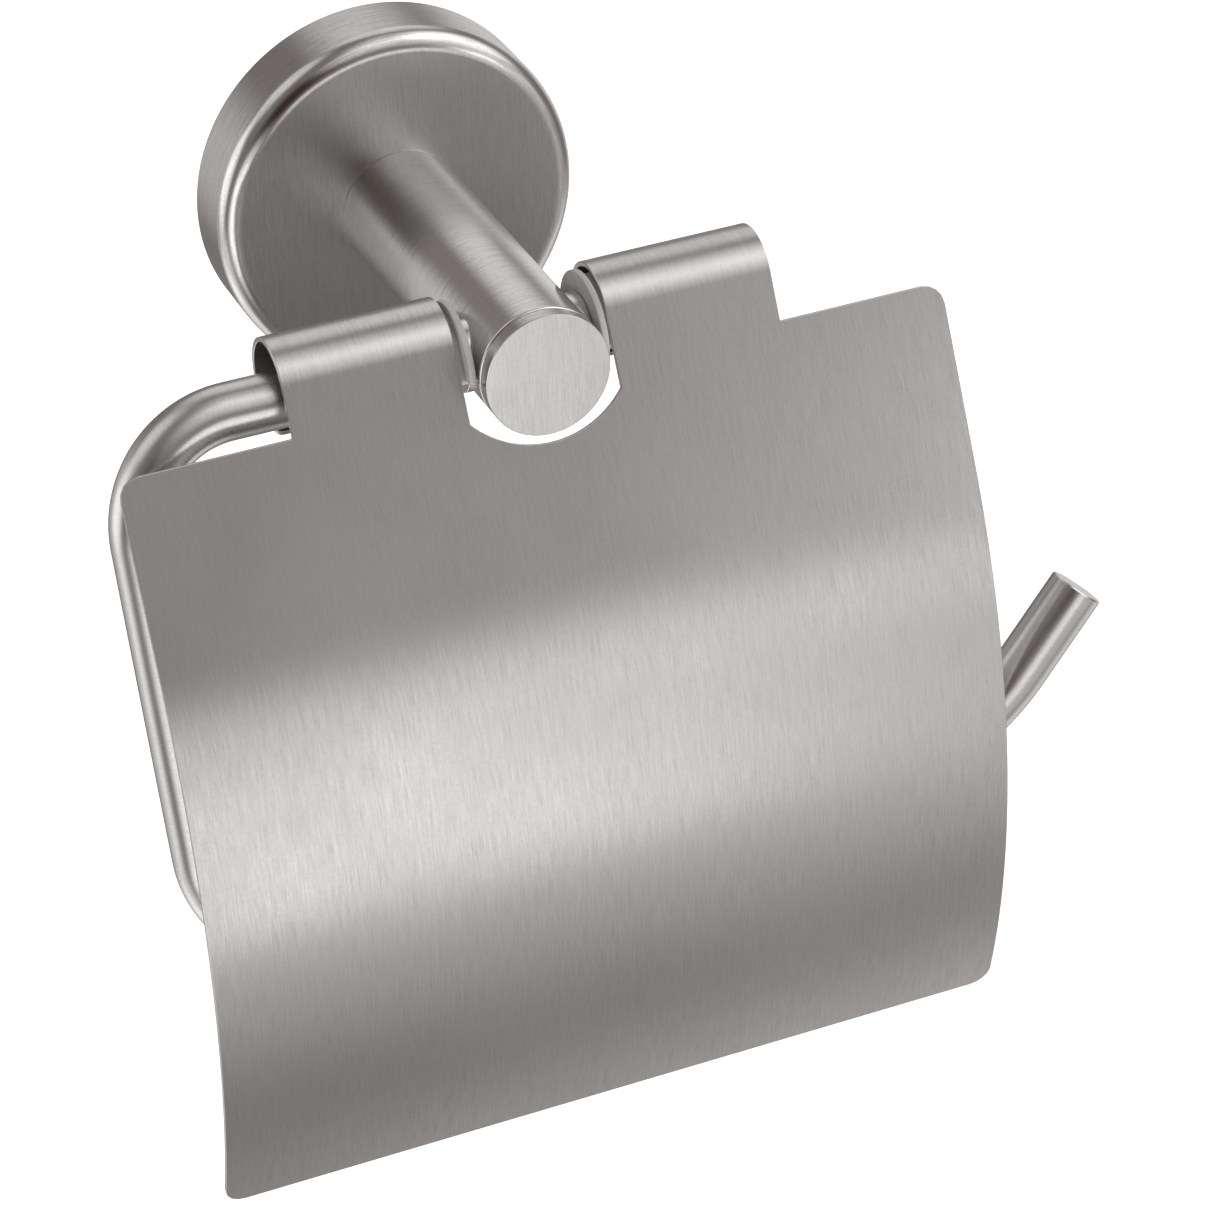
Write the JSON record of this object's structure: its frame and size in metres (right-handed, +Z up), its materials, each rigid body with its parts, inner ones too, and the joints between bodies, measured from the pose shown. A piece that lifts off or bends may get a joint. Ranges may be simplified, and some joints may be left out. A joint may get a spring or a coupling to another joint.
{
  "type": "toilet paper holder",
  "caption": "Wall-mounted toilet roll holder: round rosette and post, bent bail with an upturned free end, and a curved hinged hood that hangs over the roll.",
  "frame": {"origin": "centre of the rosette on the wall plane", "axes": "+Y into the wall, so the post stands out along -Y; +Z up; +X to the right seen from the room, towards the bail's free end"},
  "size_m": [0.1385, 0.085, 0.14],
  "materials": {
    "satin_steel": "satin, fine brushed",
    "satin_bar": "satin, brushed along the rod",
    "satin_sheet": "satin, brushed from top to bottom",
    "bracket_steel": "machined, dull",
    "screw_steel": "plain",
    "liner_plastic": "moulded, light grey"
  },
  "bodies": {
    "root": {"wall_bracket": "bracket_steel", "rosette": "satin_steel", "rosette_seat": "bracket_steel", "rosette_set_screw": "screw_steel", "post_tube": "satin_steel", "post_foot": "bracket_steel", "post_washer": "screw_steel", "post_screw": "screw_steel", "bar_block": "bracket_steel", "bar_clamp_screw": "screw_steel", "end_cap": "satin_steel", "roll_bar": "satin_bar"},
    "lid": {"lid": "satin_sheet", "hinge_bush_left": "liner_plastic", "hinge_bush_right": "liner_plastic"}
  },
  "joints": [
    {"name": "lid_hinge", "type": "hinge", "parent": "root", "child": "lid", "pos_m": [0, -0.0572, 0], "axis": [-1, 0, 0], "range_deg": [0, 183]}
  ]
}
